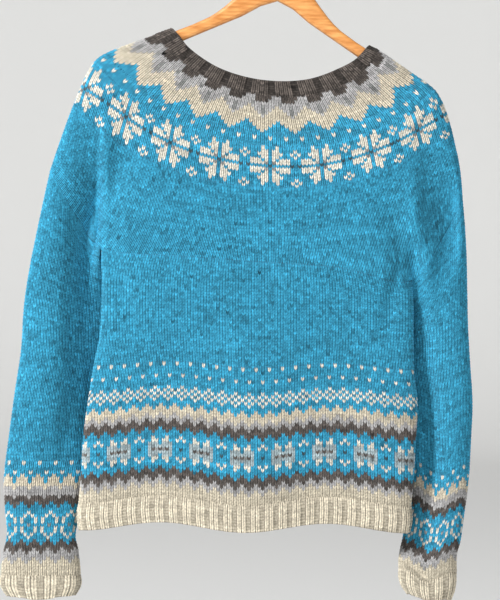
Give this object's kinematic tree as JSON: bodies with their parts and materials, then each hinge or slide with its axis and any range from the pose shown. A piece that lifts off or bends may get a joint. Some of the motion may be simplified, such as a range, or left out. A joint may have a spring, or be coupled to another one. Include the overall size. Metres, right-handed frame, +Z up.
{
  "type": "sweater",
  "caption": "Knitted wool pullover with a patterned round yoke and banded hem and cuffs, hanging on a wooden clothes hanger with a wire hook.",
  "frame": {"origin": "the top of the hook's inside, where the hanger rests on its rail", "axes": "+Z up, +X to the right as the near side of the garment is seen, +Y away from the near side, along the rail"},
  "size_m": [0.6285, 0.0716, 0.9078],
  "materials": {
    "wool_blue": "matte knitted wool",
    "wool_cream": "matte ribbed wool",
    "wool_charcoal": "matte ribbed wool",
    "wood": "satin",
    "steel": "bright wire"
  },
  "bodies": {
    "root": {"neckband": "wool_charcoal", "yoke": "wool_blue", "body": "wool_blue", "hem_rib": "wool_cream", "sleeve_left": "wool_blue", "sleeve_right": "wool_blue", "cuff_left": "wool_cream", "cuff_right": "wool_cream", "hanger": "wood", "hanger_hook": "steel"}
  },
  "joints": []
}
